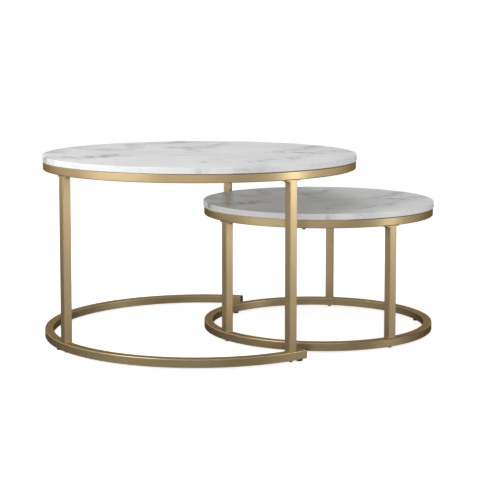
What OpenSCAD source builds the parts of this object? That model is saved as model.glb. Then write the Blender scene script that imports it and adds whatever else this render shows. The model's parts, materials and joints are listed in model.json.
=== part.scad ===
// Pair of round nesting coffee tables.
// Each table is a round board screwed to a frame of square tube: a top ring, three legs and
// a base ring. The large base ring is open on one side, so that the small table slides in.
// The origin is on the floor, midway between the two outer ends. +X is the direction in
// which the small table pulls out, and +Z is up.

/* [Large table] */
// Diameter of the large top
large_d = 800; // [780:5:900]
// Height of the large top's upper face above the floor
large_h = 468; // [450:1:520]

/* [Small table] */
// Diameter of the small top
small_d = 600; // [520:5:610]
// Height of the small top's upper face above the floor
small_h = 341; // [280:1:380]
// How far the small table stands pulled out from the nested position
pull_out = 314; // [0:1:700]

/* [Tops] */
// Thickness of each board
board_t = 15; // [12:1:22]
// Overhang of each board past its top ring
overhang = 2; // [0:0.5:6]
// Radius on the board's edges
board_edge_r = 1.2; // [0.4:0.1:3]

/* [Tube] */
// Outer width of the square tube
tube = 21; // [19:0.5:25]
// Wall thickness of the tube
wall = 1.5; // [1:0.1:2]
// Outer corner radius of the tube
tube_r = 2; // [1:0.1:3]

/* [Layout] */
// Angle from the opening's middle line to each of the two legs beside it
flank_angle = 67.5; // [66:0.5:72]
// Angle of the third leg
rear_angle = 202.5; // [180:0.5:215]
// Angle from the opening's middle line to each end of the open base ring
end_angle = 61.4; // [58:0.1:61.5]

/* [Feet] */
// Height of a glide under the base ring
glide_h = 5; // [5:0.5:9]
// Diameter of a glide
glide_d = 16; // [12:0.5:18]

/* [Leg plates] */
// Thickness of the plate on top of each leg
plate_t = 3; // [2:0.5:4]
// How far the plate reaches past its screw heads
plate_margin = 1; // [0:0.1:4]

/* [Hidden] */

brass_paint = "#b89b68";
marble_white = "#e8e8e8";
black_plastic = "#1c1c1c";
zinc_steel = "#a8a8a0";

ring_fn = 240;
round_fn = 48;
corner_fn = 24;
eps = 0.01;
// How far a cutter reaches past the face it starts or ends at
cut = 1;

// Where each table stands along X
large_x = (large_d / 2 - small_d / 2 - pull_out) / 2;
small_x = large_x + pull_out;

// Outer radius of each table's rings, which is also the legs' outer face
large_r = large_d / 2 - overhang;
small_r = small_d / 2 - overhang;

// Heights shared by both tables
base_z = glide_h;
base_top = base_z + tube;
large_ring_z = large_h - board_t - tube;
small_ring_z = small_h - board_t - tube;

// Angles of the legs: front, back and rear
leg_angles = [-flank_angle, flank_angle, rear_angle];
// Angles of the glides: near the ring's ends and the rear leg on the large table,
// and evenly spaced on the small one
glide_past_end = 2.2;
glide_before_leg = 5.9;
small_glide_first = 246.3;
large_glide_angles = [
  -end_angle - glide_past_end, end_angle + glide_past_end, rear_angle - glide_before_leg
];
small_glide_angles = [for (i = [0:2]) small_glide_first - 120 * i];
// Angles of the board screws, midway between neighbouring legs
screw_angles = [0, (flank_angle + rear_angle) / 2, (rear_angle + 360 - flank_angle) / 2];

// Fasteners: diameters, lengths and heads
bolt_d = 6;
bolt_head_d = 11;
bolt_head_h = 3;
bolt_hole_d = 6.6;
bolt_tip_gap = 2;
washer_d = 13;
washer_t = 1.2;
washer_play = 0.4;
nut_h = 14;
plate_screw_d = 4;
plate_hole_d = 4.4;
plate_screw_head_d = 7.6;
plate_screw_head_h = 2.6;
plate_screw_l = 12;
plate_head_gap = 0.9;
plate_screw_y = tube / 2 + plate_screw_head_d / 2 + plate_head_gap;
plate_l = 2 * (plate_screw_y + plate_screw_head_d / 2 + plate_margin);
plate_corner_r = 4;
plate_inset = 0.5;
board_screw_d = 4;
board_screw_hole_d = 4.5;
board_screw_head_d = 9.4;
board_screw_head_h = 3.2;
board_screw_bite = 10;
board_pilot_depth = 11.5;
board_washer_t = 1;
access_hole_d = 11;
running_gap = 0.1;

// Glide pin and end plug
glide_pin_d = 6;
glide_pin_h = 8;
glide_pin_taper = 1;
glide_chamfer = 1.2;
plug_cap_t = 1.5;
plug_body_l = 9;
plug_gap = 0.15;

// Degrees covered by a length along the ring's centre line
function arc_degrees(ring_r, length) = length / (ring_r - tube / 2) * 180 / PI;

// Places a piece in the large or small table's own frame
module on_large() {
  translate([large_x, 0, 0]) children();
}
module on_small() {
  translate([small_x, 0, 0]) children();
}
// Places a piece on the ring's centre line, with local X pointing outwards
module on_ring(ring_r, angle) {
  rotate([0, 0, angle]) translate([ring_r - tube / 2, 0, 0]) children();
}

// Square with round corners, centred
module rounded_square(width, corner_r) {
  inner = width - 2 * corner_r;
  square([width, inner], center = true);
  square([inner, width], center = true);
  for (x = [-1, 1], y = [-1, 1])
    translate([x * inner / 2, y * inner / 2]) circle(r = corner_r, $fn = corner_fn);
}
// Rectangle with round corners, centred
module rounded_rectangle(length_x, length_y, corner_r) {
  square([length_x, length_y - 2 * corner_r], center = true);
  square([length_x - 2 * corner_r, length_y], center = true);
  for (x = [-1, 1], y = [-1, 1])
    translate([x * (length_x / 2 - corner_r), y * (length_y / 2 - corner_r)])
      circle(r = corner_r, $fn = corner_fn);
}
// Cross-section of the tube
module tube_section() {
  difference() {
    rounded_square(tube, tube_r);
    square(tube - 2 * wall, center = true);
  }
}

// Round board with eased edges, its upper face at top_z, bored for its screws
module board(radius, top_z, ring_r) {
  difference() {
    translate([0, 0, top_z - board_t]) rotate_extrude($fn = ring_fn) board_section(radius);
    for (a = screw_angles)
      on_ring(ring_r, a) translate([0, 0, top_z - board_t - cut])
        cylinder(d = board_screw_d + 2 * running_gap, h = board_pilot_depth + cut, $fn = round_fn);
  }
}
module board_section(radius) {
  square([radius - board_edge_r, board_t]);
  translate([0, board_edge_r]) square([radius, board_t - 2 * board_edge_r]);
  for (z = [board_edge_r, board_t - board_edge_r])
    translate([radius - board_edge_r, z]) circle(r = board_edge_r, $fn = corner_fn);
}

// Ring of tube around Z, with its underside at low_z
module tube_ring(ring_r, low_z, start_deg, turn_deg) {
  translate([0, 0, low_z + tube / 2])
    rotate_extrude(angle = turn_deg, start = start_deg, $fn = ring_fn)
      translate([ring_r - tube / 2, 0]) tube_section();
}
// Top ring: plate screws bite in its lower wall, board screws pass through it
module top_ring(ring_r, low_z, lower_hole_d) {
  difference() {
    tube_ring(ring_r, low_z, 0, 360);
    for (a = leg_angles, y = [-1, 1])
      on_ring(ring_r, a) translate([0, y * plate_screw_y, low_z - cut])
        cylinder(d = plate_screw_d + 2 * running_gap, h = wall + 2 * cut, $fn = round_fn);
    for (a = screw_angles)
      on_ring(ring_r, a) {
        translate([0, 0, low_z - cut])
          cylinder(d = lower_hole_d, h = wall + 2 * cut, $fn = round_fn);
        translate([0, 0, low_z + tube / 2])
          cylinder(d = board_screw_hole_d, h = tube / 2 + cut, $fn = round_fn);
      }
  }
}
// Base ring: leg bolts pass through both walls, glide pins through the lower one
module base_ring(ring_r, start_deg, turn_deg, glide_angles) {
  difference() {
    tube_ring(ring_r, base_z, start_deg, turn_deg);
    for (a = leg_angles)
      on_ring(ring_r, a) translate([0, 0, base_z - cut])
        cylinder(d = bolt_hole_d, h = tube + 2 * cut, $fn = round_fn);
    for (a = glide_angles)
      on_ring(ring_r, a) translate([0, 0, base_z - cut])
        cylinder(d = glide_pin_d + 2 * running_gap, h = wall + 2 * cut, $fn = round_fn);
  }
}

// Leg of square tube, standing on the base ring and ending under its plate
module leg(ring_r, ring_z, angle) {
  on_ring(ring_r, angle) translate([0, 0, base_top])
    linear_extrude(ring_z - plate_t - base_top) tube_section();
}
// Plate welded on a leg's top end, screwed to the top ring on both sides
module leg_plate(ring_r, ring_z, angle) {
  on_ring(ring_r, angle) translate([0, 0, ring_z - plate_t]) difference() {
    linear_extrude(plate_t) rounded_rectangle(tube - 2 * plate_inset, plate_l, plate_corner_r);
    for (y = [-1, 1])
      translate([0, y * plate_screw_y, -cut])
        cylinder(d = plate_hole_d, h = plate_t + 2 * cut, $fn = round_fn);
  }
}
// Threaded blocks held inside the legs' lower ends
module leg_nuts(ring_r) {
  for (a = leg_angles)
    on_ring(ring_r, a) translate([0, 0, base_top]) difference() {
      translate([0, 0, nut_h / 2]) cube([tube - 2 * wall, tube - 2 * wall, nut_h], center = true);
      translate([0, 0, -cut])
        cylinder(d = bolt_d + 2 * running_gap, h = nut_h + 2 * cut, $fn = round_fn);
    }
}

// Screw that points up from z = 0, with a domed head below and a hexagon socket in it
module screw(shaft_d, shaft_l, head_d, head_h) {
  socket_d = head_d * 0.42;
  socket_h = head_h * 0.55;
  cylinder(d = shaft_d, h = shaft_l, $fn = round_fn);
  difference() {
    rotate_extrude($fn = round_fn) polygon([
      [0, -head_h], [head_d * 0.3, -head_h], [head_d * 0.44, -head_h * 0.62],
      [head_d / 2, -head_h * 0.2], [head_d / 2, 0], [0, 0]
    ]);
    translate([0, 0, -head_h - cut]) cylinder(d = socket_d, h = socket_h + cut, $fn = 6);
  }
}
module washer(outer_d, hole_d, thickness) {
  difference() {
    cylinder(d = outer_d, h = thickness, $fn = round_fn);
    translate([0, 0, -cut]) cylinder(d = hole_d, h = thickness + 2 * cut, $fn = round_fn);
  }
}
// Bolts that hold the base ring to the legs, from below
module base_bolts(ring_r) {
  for (a = leg_angles)
    on_ring(ring_r, a) translate([0, 0, base_z - washer_t])
      screw(bolt_d, washer_t + tube + nut_h - bolt_tip_gap, bolt_head_d, bolt_head_h);
}
module base_washers(ring_r) {
  for (a = leg_angles)
    on_ring(ring_r, a) translate([0, 0, base_z - washer_t])
      washer(washer_d, bolt_d + washer_play, washer_t);
}
// Screws that hold the leg plates to the top ring
module plate_screws(ring_r, ring_z) {
  for (a = leg_angles, y = [-1, 1])
    on_ring(ring_r, a) translate([0, y * plate_screw_y, ring_z - plate_t])
      screw(plate_screw_d, plate_screw_l, plate_screw_head_d, plate_screw_head_h);
}
// Screws that hold the board, their heads bearing at head_z
module board_screws(ring_r, head_z, board_z) {
  for (a = screw_angles)
    on_ring(ring_r, a) translate([0, 0, head_z])
      screw(board_screw_d, board_z - head_z + board_screw_bite,
            board_screw_head_d, board_screw_head_h);
}

// Glide with a pin that pushes into the base ring
module glide(ring_r, angle) {
  rim_r = glide_d / 2;
  pin_r = glide_pin_d / 2;
  on_ring(ring_r, angle) rotate_extrude($fn = round_fn) polygon([
    [0, 0], [rim_r - glide_chamfer, 0], [rim_r, glide_chamfer], [rim_r, glide_h],
    [pin_r, glide_h], [pin_r, glide_h + glide_pin_h - glide_pin_taper],
    [pin_r - glide_pin_taper, glide_h + glide_pin_h], [0, glide_h + glide_pin_h]
  ]);
}
// Plug in an end of the open base ring: a cap the size of the tube and a body inside it.
// side is 1 for the end at positive Y and -1 for the other
module end_plug(ring_r, side) {
  cap_deg = arc_degrees(ring_r, plug_cap_t);
  body_deg = arc_degrees(ring_r, plug_body_l);
  body_w = tube - 2 * wall - 2 * plug_gap;
  translate([0, 0, base_z + tube / 2]) mirror([0, side < 0 ? 1 : 0, 0]) {
    rotate_extrude(angle = cap_deg, start = end_angle, $fn = ring_fn)
      translate([ring_r - tube / 2, 0]) rounded_square(tube, tube_r);
    rotate_extrude(angle = body_deg, start = end_angle + cap_deg - eps, $fn = ring_fn)
      translate([ring_r - tube / 2, 0]) square(body_w, center = true);
  }
}

// Large table
module large_top_board() {
  color(marble_white) on_large() board(large_d / 2, large_h, large_r);
}
module large_top_ring() {
  color(brass_paint) on_large() top_ring(large_r, large_ring_z, access_hole_d);
}
module large_leg_front() {
  color(brass_paint) on_large() leg(large_r, large_ring_z, leg_angles[0]);
}
module large_leg_back() {
  color(brass_paint) on_large() leg(large_r, large_ring_z, leg_angles[1]);
}
module large_leg_rear() {
  color(brass_paint) on_large() leg(large_r, large_ring_z, leg_angles[2]);
}
module large_plate_front() {
  color(brass_paint) on_large() leg_plate(large_r, large_ring_z, leg_angles[0]);
}
module large_plate_back() {
  color(brass_paint) on_large() leg_plate(large_r, large_ring_z, leg_angles[1]);
}
module large_plate_rear() {
  color(brass_paint) on_large() leg_plate(large_r, large_ring_z, leg_angles[2]);
}
module large_leg_nuts() {
  color(zinc_steel) on_large() leg_nuts(large_r);
}
module large_base_ring() {
  cap_deg = arc_degrees(large_r, plug_cap_t);
  start_deg = end_angle + cap_deg;
  color(brass_paint) on_large()
    base_ring(large_r, start_deg, 360 - 2 * start_deg, large_glide_angles);
}
module large_base_bolts() {
  color(black_plastic) on_large() base_bolts(large_r);
}
module large_base_washers() {
  color(zinc_steel) on_large() base_washers(large_r);
}
module large_plate_screws() {
  color(black_plastic) on_large() plate_screws(large_r, large_ring_z);
}
module large_board_screws() {
  color(zinc_steel) on_large()
    board_screws(large_r, large_ring_z + tube - wall, large_h - board_t);
}
module large_end_plug_front() {
  color(black_plastic) on_large() end_plug(large_r, -1);
}
module large_end_plug_back() {
  color(black_plastic) on_large() end_plug(large_r, 1);
}
module large_glide_front() {
  color(black_plastic) on_large() glide(large_r, large_glide_angles[0]);
}
module large_glide_back() {
  color(black_plastic) on_large() glide(large_r, large_glide_angles[1]);
}
module large_glide_rear() {
  color(black_plastic) on_large() glide(large_r, large_glide_angles[2]);
}

// Small table
module small_top_board() {
  color(marble_white) on_small() board(small_d / 2, small_h, small_r);
}
module small_top_ring() {
  color(brass_paint) on_small() top_ring(small_r, small_ring_z, board_screw_hole_d);
}
module small_leg_front() {
  color(brass_paint) on_small() leg(small_r, small_ring_z, leg_angles[0]);
}
module small_leg_back() {
  color(brass_paint) on_small() leg(small_r, small_ring_z, leg_angles[1]);
}
module small_leg_rear() {
  color(brass_paint) on_small() leg(small_r, small_ring_z, leg_angles[2]);
}
module small_plate_front() {
  color(brass_paint) on_small() leg_plate(small_r, small_ring_z, leg_angles[0]);
}
module small_plate_back() {
  color(brass_paint) on_small() leg_plate(small_r, small_ring_z, leg_angles[1]);
}
module small_plate_rear() {
  color(brass_paint) on_small() leg_plate(small_r, small_ring_z, leg_angles[2]);
}
module small_leg_nuts() {
  color(zinc_steel) on_small() leg_nuts(small_r);
}
module small_base_ring() {
  color(brass_paint) on_small() base_ring(small_r, 0, 360, small_glide_angles);
}
module small_base_bolts() {
  color(black_plastic) on_small() base_bolts(small_r);
}
module small_base_washers() {
  color(zinc_steel) on_small() base_washers(small_r);
}
module small_plate_screws() {
  color(black_plastic) on_small() plate_screws(small_r, small_ring_z);
}
module small_board_screws() {
  color(black_plastic) on_small()
    board_screws(small_r, small_ring_z - board_washer_t, small_h - board_t);
}
module small_board_washers() {
  color(brass_paint) on_small() for (a = screw_angles)
    on_ring(small_r, a) translate([0, 0, small_ring_z - board_washer_t])
      washer(washer_d, board_screw_d + washer_play, board_washer_t);
}
module small_glide_front() {
  color(black_plastic) on_small() glide(small_r, small_glide_angles[0]);
}
module small_glide_back() {
  color(black_plastic) on_small() glide(small_r, small_glide_angles[1]);
}
module small_glide_rear() {
  color(black_plastic) on_small() glide(small_r, small_glide_angles[2]);
}

large_top_board();
large_top_ring();
large_leg_front();
large_leg_back();
large_leg_rear();
large_plate_front();
large_plate_back();
large_plate_rear();
large_leg_nuts();
large_base_ring();
large_base_bolts();
large_base_washers();
large_plate_screws();
large_board_screws();
large_end_plug_front();
large_end_plug_back();
large_glide_front();
large_glide_back();
large_glide_rear();
small_top_board();
small_top_ring();
small_leg_front();
small_leg_back();
small_leg_rear();
small_plate_front();
small_plate_back();
small_plate_rear();
small_leg_nuts();
small_base_ring();
small_base_bolts();
small_base_washers();
small_plate_screws();
small_board_screws();
small_board_washers();
small_glide_front();
small_glide_back();
small_glide_rear();
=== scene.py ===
import json
import math

import bpy
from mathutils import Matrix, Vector


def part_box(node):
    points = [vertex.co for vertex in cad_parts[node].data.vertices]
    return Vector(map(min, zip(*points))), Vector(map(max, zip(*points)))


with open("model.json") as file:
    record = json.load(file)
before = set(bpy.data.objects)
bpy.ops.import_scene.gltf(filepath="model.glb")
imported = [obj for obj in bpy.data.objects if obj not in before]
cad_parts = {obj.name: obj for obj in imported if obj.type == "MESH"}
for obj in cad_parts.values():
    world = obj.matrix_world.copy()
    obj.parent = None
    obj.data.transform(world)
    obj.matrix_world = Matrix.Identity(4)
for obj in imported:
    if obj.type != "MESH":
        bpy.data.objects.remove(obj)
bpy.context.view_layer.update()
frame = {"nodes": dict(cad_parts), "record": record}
nodes = frame["nodes"]

# ---------------------------------------------------------------- camera

CAMERA_AT = (-0.7462, -3.3860, 0.7592)
CAMERA_TURN_DEG = -12.395
CAMERA_PITCH_DEG = -5.476
SENSOR_MM = 36
LENS_MM = 101.39
SHIFT_Y = -0.15
FARTHEST_SEEN = 100


def make_camera():
    cam = bpy.data.objects.new("Camera", bpy.data.cameras.new("Camera"))
    bpy.context.scene.collection.objects.link(cam)
    cam.location = CAMERA_AT
    cam.rotation_euler = (
        math.radians(90 + CAMERA_PITCH_DEG),
        0,
        math.radians(CAMERA_TURN_DEG),
    )
    cam.data.sensor_width = SENSOR_MM
    cam.data.lens = LENS_MM
    cam.data.shift_y = SHIFT_Y
    cam.data.clip_end = FARTHEST_SEEN
    bpy.context.scene.camera = cam


make_camera()

# ---------------------------------------------------------------- node helpers


class Tree:
    """Small helper around a node tree: each method adds a node and returns its output."""

    def __init__(self, tree):
        self.tree = tree

    def put(self, kind, inputs=(), **props):
        node = self.tree.nodes.new(kind)
        for key, value in props.items():
            setattr(node, key, value)
        for key, value in dict(inputs).items():
            if isinstance(value, bpy.types.NodeSocket):
                self.tree.links.new(value, node.inputs[key])
            else:
                node.inputs[key].default_value = value
        return node

    def math(self, op, a, b=None, c=None, clamp=False):
        ins = {i: v for i, v in enumerate((a, b, c)) if v is not None}
        return self.put("ShaderNodeMath", ins, operation=op, use_clamp=clamp).outputs[0]

    def vec(self, op, a, b=None, scale=None):
        ins = {i: v for i, v in enumerate((a, b)) if v is not None}
        if scale is not None:
            ins["Scale"] = scale
        node = self.put("ShaderNodeVectorMath", ins, operation=op)
        return node.outputs["Value" if op in ("DOT_PRODUCT", "LENGTH") else "Vector"]

    def noise(self, where, scale, detail, rough, distort=0.0, out="Fac"):
        ins = {
            "Vector": where,
            "Scale": scale,
            "Detail": detail,
            "Roughness": rough,
            "Distortion": distort,
        }
        return self.put("ShaderNodeTexNoise", ins).outputs[out]

    def span(self, value, low, high, to_low=0.0, to_high=1.0):
        """value carried smoothly from the range low to high onto to_low to to_high."""
        ins = {
            "Value": value,
            "From Min": low,
            "From Max": high,
            "To Min": to_low,
            "To Max": to_high,
        }
        node = self.put("ShaderNodeMapRange", ins, interpolation_type="SMOOTHSTEP")
        return node.outputs["Result"]

    def mix(self, fac, a, b):
        ins = {0: fac, 6: a, 7: b}
        node = self.put("ShaderNodeMix", ins, data_type="RGBA", clamp_factor=True)
        return node.outputs[2]

    def bump(self, height, strength, distance):
        ins = {"Height": height, "Strength": strength, "Distance": distance}
        return self.put("ShaderNodeBump", ins).outputs["Normal"]

    def edges(self, radius, low, high):
        """1 along sharp or tightly rounded edges, 0 on flat faces."""
        round_n = self.put("ShaderNodeBevel", {"Radius": radius}, samples=6).outputs[0]
        flat_n = self.put("ShaderNodeNewGeometry").outputs["True Normal"]
        same = self.vec("DOT_PRODUCT", round_n, flat_n)
        return self.span(same, high, low)


def new_material(name):
    mat = bpy.data.materials.new(name)
    mat.use_nodes = True
    tree = mat.node_tree
    shader = next(n for n in tree.nodes if n.type == "BSDF_PRINCIPLED")
    here = Tree(tree)
    where = here.put("ShaderNodeTexCoord").outputs["Object"]
    return mat, here, shader, where


def plug(here, shader, **links):
    for key, socket in links.items():
        here.tree.links.new(socket, shader.inputs[key.replace("_", " ")])


def grey(v):
    return (v, v, v, 1)


# Every noise below is given as scale, detail, roughness and, for some, distortion.
# Every edges setting is the bevel radius in metres, then where the edge starts and ends.

# ---------------------------------------------------------------- marble

MARBLE_LIGHT = (0.74, 0.74, 0.735, 1)
MARBLE_DARK = (0.16, 0.165, 0.175, 1)
# Lighter colour painted along the board's rounded edge as a painted highlight
MARBLE_EDGE_HIGHLIGHT = (0.88, 0.88, 0.87, 1)
BACKING_LIGHT = (0.60, 0.59, 0.57, 1)
BACKING_DARK = (0.50, 0.49, 0.47, 1)

# Darker veins: from, to (in radii of the top), width, strength
VEINS = (
    ((-0.96, -0.15), (-0.58, -0.12), 0.11, 0.85),
    ((-0.28, 0.78), (-0.42, 0.33), 0.06, 0.55),
    ((-0.12, 0.86), (0.08, 0.95), 0.10, 0.75),
    ((-0.10, 0.46), (0.08, 0.41), 0.09, 0.80),
    ((-0.02, 0.41), (-0.02, 0.10), 0.07, 0.60),
    ((0.32, 0.72), (0.10, 0.48), 0.06, 0.55),
    ((-0.22, -0.10), (0.02, -0.16), 0.05, 0.40),
    ((0.58, 0.08), (0.84, 0.28), 0.06, 0.60),
    ((0.56, -0.10), (0.76, -0.22), 0.07, 0.85),
    ((0.74, 0.02), (1.00, -0.06), 0.05, 0.50),
    ((0.84, 0.30), (0.96, 0.42), 0.07, 0.60),
    ((-0.12, -0.60), (-0.18, -0.72), 0.04, 0.65),
    ((0.36, -0.54), (0.20, -0.70), 0.05, 0.60),
    ((0.20, -0.70), (0.16, -0.92), 0.04, 0.50),
    ((0.62, -0.34), (0.44, -0.50), 0.06, 0.35),
    ((-0.94, 0.26), (-0.84, 0.48), 0.07, 0.60),
    ((-0.70, 0.62), (-0.56, 0.80), 0.06, 0.55),
    ((-0.64, 0.40), (-0.46, 0.34), 0.09, 0.35),
    ((-0.15, -0.92), (-0.17, -1.02), 0.05, 0.28),
    ((0.06, -0.92), (0.08, -1.02), 0.05, 0.32),
)
# How far a vein's soft edge reaches, in widths
VEIN_REACH = 1.5

# How far the print bends, in radii, and the noises that make it up
BEND = 0.45
BEND_NOISE = (3.4, 5.0, 0.6)
RIDGE_NOISE = (2.1, 5.0, 0.6)
RIDGE_WIDTH = 0.035
THIN_NOISE = (5.5, 6.0, 0.62)
THIN_WIDTH = 0.03
CLOUD_NOISE = (1.7, 5.0, 0.6, 0.4)
CLOUD_SPAN = (0.35, 0.70)
FLECK_NOISE = (8.0, 9.0, 0.75, 0.6)
FLECK_SPAN = (0.45, 0.64)
PATCH_NOISE = (4.5, 8.0, 0.72)
PATCH_SPAN = (0.52, 0.72)
GRAIN_NOISE = (60.0, 4.0, 0.6)
PAPER_NOISE = (30.0, 6.0, 0.7)

# How dark each part of the print is
VEIN_DARK = 1.06
VEIN_FLECKS = 0.85
VEIN_BODY = 0.22
RIDGE_DARK = 0.17
THIN_DARK = 0.12
CLOUD_DARK = 0.10
PATCH_DARK = 0.18
GRAIN_DARK = 0.03

# The cut edge, where a painted highlight lightens the print, and the slope past which a face
# belongs to the underside
EDGE_HIGHLIGHT_EDGES = (0.0015, 0.90, 0.995)
EDGE_HIGHLIGHT_AMOUNT = 0.35
UNDERSIDE_SPAN = (0.5, 0.8)

# The laminate's sheen: lowest roughness, and what the noise, the veins and the paper add
SHEEN_NOISE = (24.0, 4.0, 0.6)
SHEEN_LOWEST = 0.285
SHEEN_DRIFT = 0.10
SHEEN_ON_VEINS = 0.06
SHEEN_ON_PAPER = 0.25
PORE_NOISE = (160.0, 3.0, 0.5)
PORE_BUMP = (0.05, 0.0002)
MARBLE_SPECULAR = 0.5


def vein(t, at, start, end, width, strength):
    """A soft stroke from start to end on the top, in radii."""
    a = Vector((*start, 0))
    run = Vector((*end, 0)) - a
    off = t.vec("SUBTRACT", at, tuple(a))
    passed = t.vec("DOT_PRODUCT", off, tuple(run))
    along = t.math("DIVIDE", passed, run.length_squared, clamp=True)
    near = t.vec("SCALE", tuple(run), scale=along)
    gap = t.vec("LENGTH", t.vec("SUBTRACT", off, near))
    return t.span(gap, 0.0, VEIN_REACH * width, strength, 0.0)


def ridges(t, at, noise, width):
    """Thin lines along the middle level of a noise."""
    off = t.math("ABSOLUTE", t.math("SUBTRACT", t.noise(at, *noise), 0.5))
    return t.span(off, 0.0, width, 1.0, 0.0)


def print_darkness(t, at):
    """How dark the marble print is, from 0 to 1, at a place given in radii of the top."""
    # The print bends a little over its length, so that no vein is straight
    bend = t.noise(at, *BEND_NOISE, out="Color")
    bend = t.vec("SUBTRACT", bend, (0.5, 0.5, 0.5))
    bent = t.vec("ADD", at, t.vec("SCALE", bend, scale=BEND))
    flat = t.vec("MULTIPLY", bent, (1, 1, 0.0))
    strokes = None
    for stroke in VEINS:
        one = vein(t, flat, *stroke)
        strokes = one if strokes is None else t.math("MAXIMUM", strokes, one)
    # Thin ridges run through the strokes and on between them
    ridge = ridges(t, bent, RIDGE_NOISE, RIDGE_WIDTH)
    thin = ridges(t, bent, THIN_NOISE, THIN_WIDTH)
    cloud = t.span(t.noise(at, *CLOUD_NOISE), *CLOUD_SPAN)
    fleck = t.span(t.noise(at, *FLECK_NOISE), *FLECK_SPAN)
    patch = t.span(t.noise(at, *PATCH_NOISE), *PATCH_SPAN)
    grain = t.math("SUBTRACT", t.noise(at, *GRAIN_NOISE), 0.5)
    body = t.math("MULTIPLY_ADD", fleck, VEIN_FLECKS, VEIN_BODY)
    dark = t.math("MULTIPLY", t.math("MULTIPLY", strokes, body), VEIN_DARK)
    for line, amount in ((ridge, RIDGE_DARK), (thin, THIN_DARK)):
        dark = t.math("ADD", dark, t.math("MULTIPLY", line, t.math("MULTIPLY", cloud, amount)))
    dark = t.math("ADD", dark, t.math("MULTIPLY", cloud, CLOUD_DARK))
    dark = t.math("ADD", dark, t.math("MULTIPLY", patch, PATCH_DARK))
    return t.math("ADD", dark, t.math("MULTIPLY", grain, GRAIN_DARK), clamp=True)


def marble(name, centre, radius):
    """White marble print on the board whose top is centred at centre."""
    mat, t, shader, where = new_material(name)
    at = t.vec("SUBTRACT", where, tuple(centre))
    at = t.vec("MULTIPLY", at, (1 / radius, 1 / radius, 1 / radius))
    dark = print_darkness(t, at)
    colour = t.mix(dark, MARBLE_LIGHT, MARBLE_DARK)
    # Painted highlight: the print is made a little lighter along the board's rounded edge,
    # standing in for the light that edge catches
    edge_highlight = t.edges(*EDGE_HIGHLIGHT_EDGES)
    colour = t.mix(t.math("MULTIPLY", edge_highlight, EDGE_HIGHLIGHT_AMOUNT), colour, MARBLE_EDGE_HIGHLIGHT)
    # The underside is plain backing paper
    facing = t.put("ShaderNodeNewGeometry").outputs["Normal"]
    down = t.span(t.vec("DOT_PRODUCT", facing, (0, 0, -1)), *UNDERSIDE_SPAN)
    paper = t.mix(t.noise(at, *PAPER_NOISE), BACKING_DARK, BACKING_LIGHT)
    colour = t.mix(down, colour, paper)
    rough = t.math("MULTIPLY_ADD", t.noise(at, *SHEEN_NOISE), SHEEN_DRIFT, SHEEN_LOWEST)
    rough = t.math("MULTIPLY_ADD", down, SHEEN_ON_PAPER, rough)
    rough = t.math("ADD", rough, t.math("MULTIPLY", dark, SHEEN_ON_VEINS))
    normal = t.bump(t.noise(at, *PORE_NOISE), *PORE_BUMP)
    plug(t, shader, Base_Color=colour, Roughness=rough, Normal=normal)
    shader.inputs["Specular IOR Level"].default_value = MARBLE_SPECULAR
    return mat


# ---------------------------------------------------------------- frame paint and trim

PAINT_DARK = (0.458, 0.348, 0.195, 1)
PAINT_LIGHT = (0.524, 0.398, 0.223, 1)
PAINT_FLAKE = (0.62, 0.482, 0.26, 1)
PAINT_WORN = (0.70, 0.565, 0.34, 1)
# Colour of the paint where it is seen along its surface
PAINT_GLANCING = (0.50, 0.38, 0.22, 1)
PAINT_METALLIC = 0.9
PAINT_DRIFT_NOISE = (7.0, 4.0, 0.55)
PAINT_FLAKE_NOISE = (1400.0, 2.0, 0.5)
PAINT_FLAKE_SPAN = (0.45, 0.75, 0.0, 0.25)
PAINT_EDGES = (0.002, 0.75, 0.99)
PAINT_WORN_NOISE = (45.0, 5.0, 0.7)
PAINT_WORN_SPAN = (0.30, 0.62)
PAINT_WORN_AMOUNT = 0.36
PAINT_ROUGH_NOISE = (90.0, 4.0, 0.6)
PAINT_ROUGH_DRIFT = 0.06
PAINT_ROUGH_LOWEST = 0.278
PAINT_BUMP_NOISE = (300.0, 2.0, 0.5)
PAINT_BUMP = (0.03, 0.0003)

PLASTIC_DARK = (0.004, 0.004, 0.004, 1)
PLASTIC_LIGHT = (0.012, 0.0115, 0.011, 1)
PLASTIC_WORN = (0.05, 0.048, 0.045, 1)
PLASTIC_SPECULAR = 0.3
PLASTIC_SPECK_NOISE = (900.0, 3.0, 0.6)
PLASTIC_EDGES = (0.0012, 0.80, 0.99)
PLASTIC_WORN_AMOUNT = 0.3
PLASTIC_ROUGH_NOISE = (200.0, 3.0, 0.6)
PLASTIC_ROUGH_DRIFT = 0.2
PLASTIC_ROUGH_LOWEST = 0.42
PLASTIC_BUMP = (0.25, 0.0003)

# Each steel: darker colour, lighter colour, lowest roughness
BLACK_STEEL = ((0.012, 0.012, 0.012, 1), (0.035, 0.034, 0.033, 1), 0.38)
ZINC_STEEL = ((0.42, 0.42, 0.41, 1), (0.56, 0.56, 0.55, 1), 0.28)
STEEL_WORN = (0.55, 0.54, 0.52, 1)
STEEL_STRETCH = (1, 1, 9)
STEEL_STREAK_NOISE = (320.0, 3.0, 0.6)
STEEL_EDGES = (0.0007, 0.80, 0.99)
STEEL_WORN_NOISE = (600.0, 2.0, 0.6)
STEEL_WORN_AMOUNT = 0.7
STEEL_ROUGH_DRIFT = 0.2
STEEL_BUMP = (0.2, 0.0002)


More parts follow.
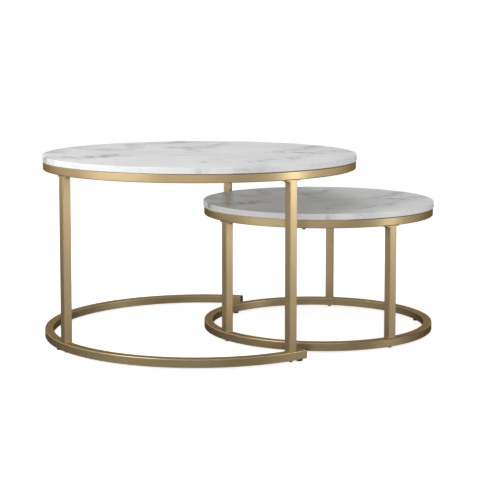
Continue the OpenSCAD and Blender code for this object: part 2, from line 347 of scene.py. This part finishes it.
def gold_paint(name):
    """Satin champagne-gold coating with a fine flake, worn lighter along the edges."""
    mat, t, shader, where = new_material(name)
    colour = t.mix(t.noise(where, *PAINT_DRIFT_NOISE), PAINT_DARK, PAINT_LIGHT)
    flake = t.span(t.noise(where, *PAINT_FLAKE_NOISE), *PAINT_FLAKE_SPAN)
    colour = t.mix(flake, colour, PAINT_FLAKE)
    rubbed = t.span(t.noise(where, *PAINT_WORN_NOISE), *PAINT_WORN_SPAN)
    worn = t.math("MULTIPLY", t.edges(*PAINT_EDGES), rubbed)
    colour = t.mix(t.math("MULTIPLY", worn, PAINT_WORN_AMOUNT), colour, PAINT_WORN)
    rough = t.noise(where, *PAINT_ROUGH_NOISE)
    rough = t.math("MULTIPLY_ADD", rough, PAINT_ROUGH_DRIFT, PAINT_ROUGH_LOWEST)
    normal = t.bump(t.noise(where, *PAINT_BUMP_NOISE), *PAINT_BUMP)
    plug(t, shader, Base_Color=colour, Roughness=rough, Normal=normal)
    shader.inputs["Metallic"].default_value = PAINT_METALLIC
    shader.inputs["Specular Tint"].default_value = PAINT_GLANCING
    return mat


def black_plastic(name):
    """Moulded black plastic, fine-grained and a little scuffed along its edges."""
    mat, t, shader, where = new_material(name)
    speck = t.noise(where, *PLASTIC_SPECK_NOISE)
    colour = t.mix(speck, PLASTIC_DARK, PLASTIC_LIGHT)
    worn = t.math("MULTIPLY", t.edges(*PLASTIC_EDGES), PLASTIC_WORN_AMOUNT)
    colour = t.mix(worn, colour, PLASTIC_WORN)
    rough = t.noise(where, *PLASTIC_ROUGH_NOISE)
    rough = t.math("MULTIPLY_ADD", rough, PLASTIC_ROUGH_DRIFT, PLASTIC_ROUGH_LOWEST)
    normal = t.bump(speck, *PLASTIC_BUMP)
    plug(t, shader, Base_Color=colour, Roughness=rough, Normal=normal)
    shader.inputs["Specular IOR Level"].default_value = PLASTIC_SPECULAR
    return mat


def bolt_steel(name, dark, light, rough_lowest):
    """Plated or blackened steel with turning marks and bright edges."""
    mat, t, shader, where = new_material(name)
    streak = t.noise(t.vec("MULTIPLY", where, STEEL_STRETCH), *STEEL_STREAK_NOISE)
    worn = t.math("MULTIPLY", t.edges(*STEEL_EDGES), t.noise(where, *STEEL_WORN_NOISE))
    colour = t.mix(streak, dark, light)
    colour = t.mix(t.math("MULTIPLY", worn, STEEL_WORN_AMOUNT), colour, STEEL_WORN)
    rough = t.math("MULTIPLY_ADD", streak, STEEL_ROUGH_DRIFT, rough_lowest)
    normal = t.bump(streak, *STEEL_BUMP)
    plug(t, shader, Base_Color=colour, Roughness=rough, Normal=normal)
    shader.inputs["Metallic"].default_value = 1.0
    return mat


def assign(name, mat):
    materials = nodes[name].data.materials
    materials.clear()
    materials.append(mat)


def dress():
    """Give every node the material of its slot in the record."""
    by_slot = {
        "brass_paint": gold_paint("gold_paint"),
        "black_plastic": black_plastic("black_plastic"),
        "black_steel": bolt_steel("black_steel", *BLACK_STEEL),
        "zinc_steel": bolt_steel("zinc_steel", *ZINC_STEEL),
    }
    for row in frame["record"]["subparts"]:
        name, slot = row["node"], row["material_slot"]
        if slot == "marble_laminate":
            low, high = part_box(name)
            centre = (low + high) / 2
            centre.z = high.z
            assign(name, marble("marble_" + name, centre, (high.x - low.x) / 2))
        else:
            assign(name, by_slot[slot])


dress()

# ---------------------------------------------------------------- floor

FLOOR_R = 60
FLOOR_SIDES = 128
FLOOR_COLOUR = 0.85
FLOOR_ROUGH = 0.9
FLOOR_GLOW = 0.70


def make_floor():
    bpy.ops.mesh.primitive_circle_add(vertices=FLOOR_SIDES, radius=FLOOR_R, fill_type="NGON")
    floor = bpy.context.object
    floor.name = "floor"
    mat = bpy.data.materials.new("floor")
    mat.use_nodes = True
    shader = next(n for n in mat.node_tree.nodes if n.type == "BSDF_PRINCIPLED")
    shader.inputs["Base Color"].default_value = grey(FLOOR_COLOUR)
    shader.inputs["Roughness"].default_value = FLOOR_ROUGH
    shader.inputs["Specular IOR Level"].default_value = 0.0
    shader.inputs["Emission Color"].default_value = grey(1.0)
    shader.inputs["Emission Strength"].default_value = FLOOR_GLOW
    floor.data.materials.append(mat)
    # The studio below stands in for the floor in reflections and in bounced light
    floor.visible_glossy = False
    floor.visible_diffuse = False


make_floor()

# ---------------------------------------------------------------- light

# Softboxes round the tables: name, bearing in degrees, distance, height, size, power
SOFTBOXES = (
    ("overhead", 0, 0, 3.0, (2.2, 2.2), 17.5),
    ("high", -155, 2.4, 2.2, (1.8, 1.2), 50),
    ("left", -160, 6.0, 0.55, (5.6, 1.1), 39),
    ("right", -33, 6.0, 0.6, (1.3, 1.2), 32),
)
# Height that the softboxes beside the tables look at
AIM_HEIGHT = 0.25

# The studio's walls and floor, which the paint reflects. Heights in them are the sine of
# the elevation, and a span of four goes from two heights to the brightness at each.
# Where the walls rise out of the dark floor far off, and where they grow dimmer above
WALL_FOOT = (-0.095, 0.005)
WALL_DIMMING = (0.15, 0.45, 1.0, 0.25)
WALL_LEVEL = 1.25
# A stretch of wall behind the tables that is darker low down
DARKER_BEHIND = (80, 3.0, -0.35)
DARKER_UP_TO = (0.10, 0.16, 1.0, 0.0)
# The dark upper part behind the tables: facing, where it starts, how dark
BACKDROP_FACING = (0.17, 0.98, 0)
BACKDROP_FROM = (0.175, 0.245)
BACKDROP_DARK = 0.80
# Lighter stretches low on the walls: bearing in degrees, sharpness, brightness
LOW_WALLS = (
    (-160, 8.0, 1.8),
    (-107, 7.0, 2.3),
    (-33, 6.0, 1.0),
    (20, 4.0, 1.9),
    (140, 4.0, 2.1),
)
LOW_UP_TO = (0.05, 0.17, 1.0, 0.0)
# A lighter patch of the floor far off: bearing, sharpness, brightness
FLOOR_PATCH = (-33, 14.0, 0.9)
PATCH_FROM = (-0.26, -0.09)
PATCH_UP_TO = (*WALL_FOOT, 1.0, 0.0)
# How bright the floor close by is, which only views from higher up reflect
FLOOR_CLOSE = (-0.62, -0.36, 0.55, 0.0)
# Soft light off the floor onto everything above it, and the least light from anywhere
BOUNCE_SPAN = (-0.30, 0.0, 1.0, 0.0)
BOUNCE = 0.28
LEAST = 0.02
# What the camera itself sees behind the tables
WHITE_SEEN = 2.0


def softbox(name, bearing, distance, height, size, power):
    """An area light at a bearing round the tables, looking at their middle."""
    light = bpy.data.lights.new(name, "AREA")
    light.shape = "RECTANGLE"
    light.size, light.size_y = size
    light.energy = power
    o = bpy.data.objects.new(name, light)
    bpy.context.scene.collection.objects.link(o)
    turn = math.radians(bearing)
    o.location = (distance * math.cos(turn), distance * math.sin(turn), height)
    target = Vector((0, 0, AIM_HEIGHT if distance else 0))
    o.rotation_euler = (target - o.location).to_track_quat("-Z", "Y").to_euler()


def toward(t, where, bearing, sharpness):
    """1 in the direction of a bearing, falling off to both sides."""
    turn = math.radians(bearing)
    facing = t.vec("DOT_PRODUCT", where, (math.cos(turn), math.sin(turn), 0))
    return t.math("POWER", t.math("MAXIMUM", facing, 0.0), sharpness)


def backdrop(t, where, up):
    """1 everywhere but behind the tables, where it falls off above the white sweep."""
    behind = t.math("MAXIMUM", t.vec("DOT_PRODUCT", where, BACKDROP_FACING), 0.0)
    above = t.span(up, *BACKDROP_FROM)
    return t.math("MULTIPLY_ADD", t.math("MULTIPLY", behind, above), -BACKDROP_DARK, 1.0)


def walls(t, where, up):
    """Brightness of the studio's walls: a bright band over the horizon, dark below it."""
    foot = t.span(up, *WALL_FOOT)
    band = t.math("MULTIPLY", foot, t.span(up, *WALL_DIMMING))
    bearing, sharpness, amount = DARKER_BEHIND
    behind = toward(t, where, bearing, sharpness)
    behind = t.math("MULTIPLY", behind, t.span(up, *DARKER_UP_TO))
    level = t.math("MULTIPLY_ADD", behind, amount, WALL_LEVEL)
    level = t.math("MULTIPLY", level, backdrop(t, where, up))
    low = 0.0
    for bearing, sharpness, amount in LOW_WALLS:
        low = t.math("MULTIPLY_ADD", toward(t, where, bearing, sharpness), amount, low)
    low = t.math("MULTIPLY", low, t.math("MULTIPLY", foot, t.span(up, *LOW_UP_TO)))
    return t.math("MULTIPLY_ADD", band, level, low)


def floor_seen(t, where, up):
    """Brightness of the floor: a lighter patch far off, and the floor close by."""
    bearing, sharpness, amount = FLOOR_PATCH
    height = t.math("MULTIPLY", t.span(up, *PATCH_FROM), t.span(up, *PATCH_UP_TO))
    patch = t.math("MULTIPLY", toward(t, where, bearing, sharpness), height)
    return t.math("MULTIPLY_ADD", patch, amount, t.span(up, *FLOOR_CLOSE))


def make_light():
    world = bpy.data.worlds.new("studio")
    bpy.context.scene.world = world
    world.use_nodes = True
    t = Tree(world.node_tree)
    where = t.put("ShaderNodeTexCoord").outputs["Generated"]
    up = t.put("ShaderNodeSeparateXYZ", {0: where}).outputs["Z"]
    # The soft light off the floor is kept out of reflections
    paths = t.put("ShaderNodeLightPath").outputs
    rough_rays = t.math("SUBTRACT", 1.0, paths["Is Glossy Ray"])
    bounce = t.math("MULTIPLY", t.span(up, *BOUNCE_SPAN), rough_rays)
    bounce = t.math("MULTIPLY_ADD", bounce, BOUNCE, LEAST)
    level = t.math("ADD", walls(t, where, up), floor_seen(t, where, up))
    level = t.math("ADD", level, bounce)
    back = t.put("ShaderNodeBackground", {"Color": grey(1.0), "Strength": level})
    white = t.put("ShaderNodeBackground", {"Color": grey(1.0), "Strength": WHITE_SEEN})
    ins = {0: paths["Is Camera Ray"], 1: back.outputs[0], 2: white.outputs[0]}
    both = t.put("ShaderNodeMixShader", ins)
    out = next(n for n in world.node_tree.nodes if n.type == "OUTPUT_WORLD")
    world.node_tree.links.new(both.outputs[0], out.inputs["Surface"])
    for row in SOFTBOXES:
        softbox(*row)


make_light()
bpy.context.scene.view_settings.view_transform = "Standard"
